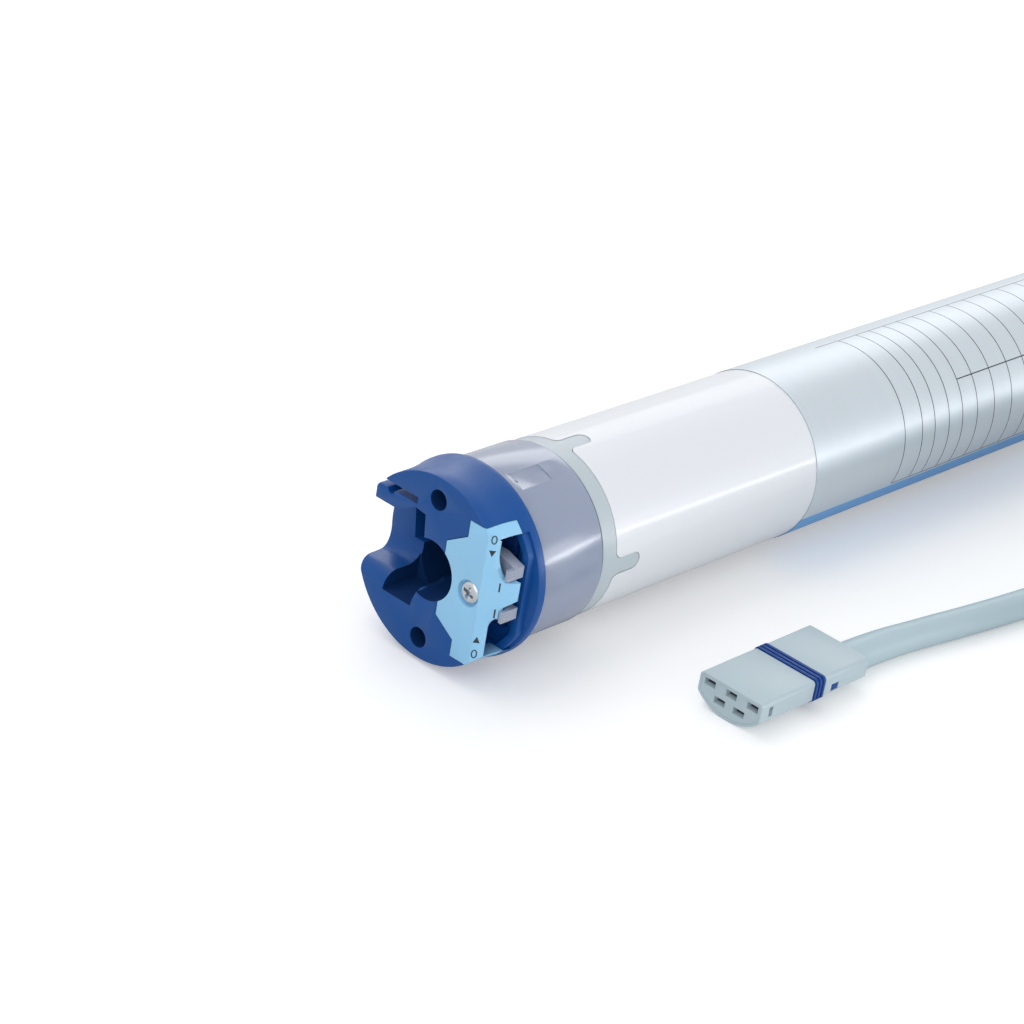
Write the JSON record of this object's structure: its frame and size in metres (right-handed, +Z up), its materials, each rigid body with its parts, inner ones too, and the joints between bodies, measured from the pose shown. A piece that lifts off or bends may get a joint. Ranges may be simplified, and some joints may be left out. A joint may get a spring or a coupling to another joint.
{
  "type": "tubular roller blind motor",
  "caption": "Tubular motor for roller blinds: pale steel tube, blue head with limit sliders and running ring, planetary gearbox inside, drive wheel, and its plug-in cable coiled beside it.",
  "frame": {"origin": "middle of the head's front face, between the two bracket screw holes, on the motor's axis", "axes": "+X runs along the motor from the head to the drive wheel, +Z is up as the motor lies, and the limit sliders face -Y"},
  "size_m": [0.4554, 0.1657, 0.0382],
  "materials": {
    "head_plastic": "moulded, satin",
    "panel_plastic": "moulded, satin",
    "slider_plastic": "moulded, satin",
    "ring_plastic": "moulded, translucent",
    "collar_plastic": "moulded, translucent",
    "tube_metal": "satin",
    "label_foil": "printed foil",
    "black_plastic": "moulded",
    "capacitor_case": "moulded",
    "foam_rubber": "foam",
    "board_laminate": "lacquered",
    "switch_laminate": "lacquered",
    "component_resin": "moulded",
    "contact_brass": "plated",
    "screw_steel": "zinc plated",
    "machined_steel": "turned",
    "cast_alloy": "die cast",
    "lamination_steel": "stacked sheet",
    "magnet_ferrite": "sintered",
    "winding_copper": "enamelled wire",
    "gear_steel": "cut teeth",
    "gear_plastic": "moulded",
    "gear_brass": "cut teeth",
    "bush_bronze": "sintered",
    "lining_composite": "pressed",
    "connector_plastic": "moulded, satin",
    "seal_rubber": "moulded",
    "cable_sheath": "extruded, satin",
    "core_insulation": "extruded"
  },
  "bodies": {
    "motor_body": {"motor_head": "head_plastic", "switch_panel": "panel_plastic", "panel_screw": "screw_steel", "switch_board": "switch_laminate", "socket_pins": "contact_brass", "sensor_board": "board_laminate", "housing_collar": "collar_plastic", "motor_tube": "tube_metal", "rating_label": "label_foil", "board_carrier": "black_plastic", "circuit_board": "board_laminate", "board_components": "component_resin", "motor_capacitor": "capacitor_case", "capacitor_pads": "foam_rubber", "rear_bell": "cast_alloy", "front_bell": "cast_alloy", "rotor_bearings": "machined_steel", "stator_core": "lamination_steel", "stator_windings": "winding_copper", "brake_lining": "lining_composite", "brake_plate": "cast_alloy", "ring_gear": "gear_steel", "output_bush": "bush_bronze", "end_cap": "black_plastic", "tube_rivets": "screw_steel", "connector_body": "connector_plastic", "connector_seal": "seal_rubber", "connector_contacts": "contact_brass", "connector_tab": "seal_rubber", "cable_lead": "cable_sheath", "cable_coil": "cable_sheath", "cable_tail": "cable_sheath", "cable_cores": "core_insulation", "core_ferrules": "screw_steel"},
    "running_ring": {"running_ring": "ring_plastic", "ring_magnet": "magnet_ferrite"},
    "upper_slider": {"upper_limit_slider": "slider_plastic"},
    "lower_slider": {"lower_limit_slider": "slider_plastic"},
    "rotor": {"rotor_core": "lamination_steel", "rotor_shaft": "machined_steel", "motor_pinion": "gear_brass", "brake_spring": "machined_steel"},
    "brake_armature": {"brake_disc": "machined_steel"},
    "first_carrier": {"carrier_1": "gear_steel"},
    "second_carrier": {"carrier_2": "gear_steel"},
    "output": {"carrier_3": "gear_steel", "output_shaft": "machined_steel", "drive_wheel": "black_plastic", "wheel_screw": "screw_steel"},
    "planet_1a": {"planet_1a": "gear_plastic"},
    "planet_1b": {"planet_1b": "gear_plastic"},
    "planet_1c": {"planet_1c": "gear_plastic"},
    "planet_2a": {"planet_2a": "gear_brass"},
    "planet_2b": {"planet_2b": "gear_brass"},
    "planet_2c": {"planet_2c": "gear_brass"},
    "planet_3a": {"planet_3a": "gear_steel"},
    "planet_3b": {"planet_3b": "gear_steel"},
    "planet_3c": {"planet_3c": "gear_steel"}
  },
  "joints": [
    {"name": "output_spin", "type": "hinge", "parent": "motor_body", "child": "output", "pos_m": [0, 0, 0], "axis": [1, 0, 0], "continuous": true},
    {"name": "second_carrier_spin", "type": "hinge", "parent": "motor_body", "child": "second_carrier", "pos_m": [0, 0, 0], "axis": [1, 0, 0], "continuous": true},
    {"name": "first_carrier_spin", "type": "hinge", "parent": "motor_body", "child": "first_carrier", "pos_m": [0, 0, 0], "axis": [1, 0, 0], "continuous": true},
    {"name": "rotor_spin", "type": "hinge", "parent": "motor_body", "child": "rotor", "pos_m": [0, 0, 0], "axis": [1, 0, 0], "continuous": true},
    {"name": "ring_spin", "type": "hinge", "parent": "motor_body", "child": "running_ring", "pos_m": [0, 0, 0], "axis": [1, 0, 0], "continuous": true},
    {"name": "planet_1a_spin", "type": "hinge", "parent": "first_carrier", "child": "planet_1a", "pos_m": [0, 0.00825, 0], "axis": [1, 0, 0], "continuous": true},
    {"name": "planet_1b_spin", "type": "hinge", "parent": "first_carrier", "child": "planet_1b", "pos_m": [0, -0.00413, 0.00714], "axis": [1, 0, 0], "continuous": true},
    {"name": "planet_1c_spin", "type": "hinge", "parent": "first_carrier", "child": "planet_1c", "pos_m": [0, -0.00413, -0.00714], "axis": [1, 0, 0], "continuous": true},
    {"name": "planet_2a_spin", "type": "hinge", "parent": "second_carrier", "child": "planet_2a", "pos_m": [0, 0.00825, 0], "axis": [1, 0, 0], "continuous": true},
    {"name": "planet_2b_spin", "type": "hinge", "parent": "second_carrier", "child": "planet_2b", "pos_m": [0, -0.00413, 0.00714], "axis": [1, 0, 0], "continuous": true},
    {"name": "planet_2c_spin", "type": "hinge", "parent": "second_carrier", "child": "planet_2c", "pos_m": [0, -0.00413, -0.00714], "axis": [1, 0, 0], "continuous": true},
    {"name": "planet_3a_spin", "type": "hinge", "parent": "output", "child": "planet_3a", "pos_m": [0, 0.00825, 0], "axis": [1, 0, 0], "continuous": true},
    {"name": "planet_3b_spin", "type": "hinge", "parent": "output", "child": "planet_3b", "pos_m": [0, -0.00413, 0.00714], "axis": [1, 0, 0], "continuous": true},
    {"name": "planet_3c_spin", "type": "hinge", "parent": "output", "child": "planet_3c", "pos_m": [0, -0.00413, -0.00714], "axis": [1, 0, 0], "continuous": true},
    {"name": "upper_slider_slide", "type": "slide", "parent": "motor_body", "child": "upper_slider", "axis": [0, 0, 1], "range_m": [0, 0.0041]},
    {"name": "lower_slider_slide", "type": "slide", "parent": "motor_body", "child": "lower_slider", "axis": [0, 0, -1], "range_m": [0, 0.0041]},
    {"name": "brake_release", "type": "slide", "parent": "rotor", "child": "brake_armature", "axis": [-1, 0, 0], "range_m": [0, 0.0005], "stiffness_N_per_m": 500, "springref_m": -0.002}
  ],
  "couplings": [
    {"joint": "first_carrier_spin", "follows": "rotor_spin", "ratio": 0.18182},
    {"joint": "second_carrier_spin", "follows": "rotor_spin", "ratio": 0.033058},
    {"joint": "output_spin", "follows": "rotor_spin", "ratio": 0.0060105},
    {"joint": "planet_1a_spin", "follows": "rotor_spin", "ratio": -0.46753},
    {"joint": "planet_1b_spin", "follows": "rotor_spin", "ratio": -0.46753},
    {"joint": "planet_1c_spin", "follows": "rotor_spin", "ratio": -0.46753},
    {"joint": "planet_2a_spin", "follows": "rotor_spin", "ratio": -0.085006},
    {"joint": "planet_2b_spin", "follows": "rotor_spin", "ratio": -0.085006},
    {"joint": "planet_2c_spin", "follows": "rotor_spin", "ratio": -0.085006},
    {"joint": "planet_3a_spin", "follows": "rotor_spin", "ratio": -0.015456},
    {"joint": "planet_3b_spin", "follows": "rotor_spin", "ratio": -0.015456},
    {"joint": "planet_3c_spin", "follows": "rotor_spin", "ratio": -0.015456}
  ]
}
